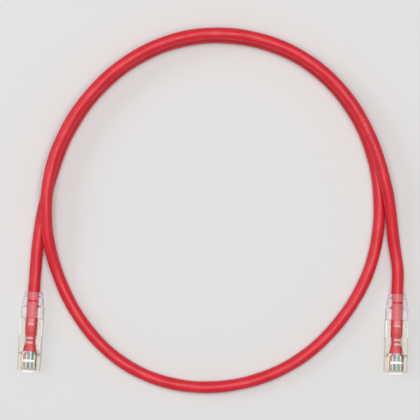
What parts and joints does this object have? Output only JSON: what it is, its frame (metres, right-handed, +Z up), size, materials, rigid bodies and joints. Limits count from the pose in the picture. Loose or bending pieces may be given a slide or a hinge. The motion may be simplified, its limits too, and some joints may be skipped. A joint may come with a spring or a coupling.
{
  "type": "ethernet patch cable",
  "caption": "Red round network patch cord lying in a loose loop and a half, with a clear latching modular plug and a slotted milky boot on each end.",
  "frame": {"origin": "on the ground, midway between the two plugs along X and halfway along them in Y", "axes": "+X from the left plug to the right plug; +Y from the plugs' noses toward the loop; +Z up, from the contact side of the plugs to their latches"},
  "size_m": [0.1992, 0.1859, 0.0126],
  "materials": {
    "jacket_red": "smooth PVC with a soft sheen",
    "clear_polycarbonate": "clear, polished by the mould",
    "milky_boot": "milky, flexible and slightly translucent",
    "gold_plate": "gold plated phosphor bronze",
    "separator_white": "natural polyethylene",
    "wire_white_orange": "polyethylene insulation",
    "wire_orange": "polyethylene insulation",
    "wire_white_green": "polyethylene insulation",
    "wire_blue": "polyethylene insulation",
    "wire_white_blue": "polyethylene insulation",
    "wire_green": "polyethylene insulation",
    "wire_white_brown": "polyethylene insulation",
    "wire_brown": "polyethylene insulation"
  },
  "bodies": {
    "cord": {"cable_jacket": "jacket_red", "left_plug_body": "clear_polycarbonate", "left_boot": "milky_boot", "left_load_bar": "clear_polycarbonate", "left_contact_1": "gold_plate", "left_conductor_1": "wire_white_orange", "left_contact_2": "gold_plate", "left_conductor_2": "wire_orange", "left_contact_3": "gold_plate", "left_conductor_3": "wire_white_green", "left_contact_4": "gold_plate", "left_conductor_4": "wire_blue", "left_contact_5": "gold_plate", "left_conductor_5": "wire_white_blue", "left_contact_6": "gold_plate", "left_conductor_6": "wire_green", "left_contact_7": "gold_plate", "left_conductor_7": "wire_white_brown", "left_contact_8": "gold_plate", "left_conductor_8": "wire_brown", "left_jacket_end": "jacket_red", "left_pair_separator": "separator_white", "right_plug_body": "clear_polycarbonate", "right_boot": "milky_boot", "right_load_bar": "clear_polycarbonate", "right_contact_1": "gold_plate", "right_conductor_1": "wire_white_orange", "right_contact_2": "gold_plate", "right_conductor_2": "wire_orange", "right_contact_3": "gold_plate", "right_conductor_3": "wire_white_green", "right_contact_4": "gold_plate", "right_conductor_4": "wire_blue", "right_contact_5": "gold_plate", "right_conductor_5": "wire_white_blue", "right_contact_6": "gold_plate", "right_conductor_6": "wire_green", "right_contact_7": "gold_plate", "right_conductor_7": "wire_white_brown", "right_contact_8": "gold_plate", "right_conductor_8": "wire_brown", "right_jacket_end": "jacket_red", "right_pair_separator": "separator_white"},
    "left_latch": {"left_latch": "clear_polycarbonate"},
    "left_snag_guard": {"left_snag_guard": "clear_polycarbonate"},
    "right_latch": {"right_latch": "clear_polycarbonate"},
    "right_snag_guard": {"right_snag_guard": "clear_polycarbonate"}
  },
  "joints": [
    {"name": "left_latch_press", "type": "hinge", "parent": "cord", "child": "left_latch", "pos_m": [-0.09385, -0.0194, 0.00637], "axis": [-0.9976, 0.0689, 0], "range_deg": [0, 6], "stiffness_Nm_per_rad": 0.6},
    {"name": "left_guard_press", "type": "hinge", "parent": "cord", "child": "left_snag_guard", "pos_m": [-0.09212, 0.00569, 0.00865], "axis": [0.9976, -0.0689, 0], "range_deg": [0, 11], "stiffness_Nm_per_rad": 0.3},
    {"name": "right_latch_press", "type": "hinge", "parent": "cord", "child": "right_latch", "pos_m": [0.09302, -0.0205, 0.00637], "axis": [-0.9997, 0.0244, 0], "range_deg": [0, 6], "stiffness_Nm_per_rad": 0.6},
    {"name": "right_guard_press", "type": "hinge", "parent": "cord", "child": "right_snag_guard", "pos_m": [0.09363, 0.00464, 0.00865], "axis": [0.9997, -0.0244, 0], "range_deg": [0, 11], "stiffness_Nm_per_rad": 0.3}
  ],
  "couplings": [
    {"joint": "left_guard_press", "follows": "left_latch_press", "ratio": 1.8},
    {"joint": "right_guard_press", "follows": "right_latch_press", "ratio": 1.8}
  ]
}
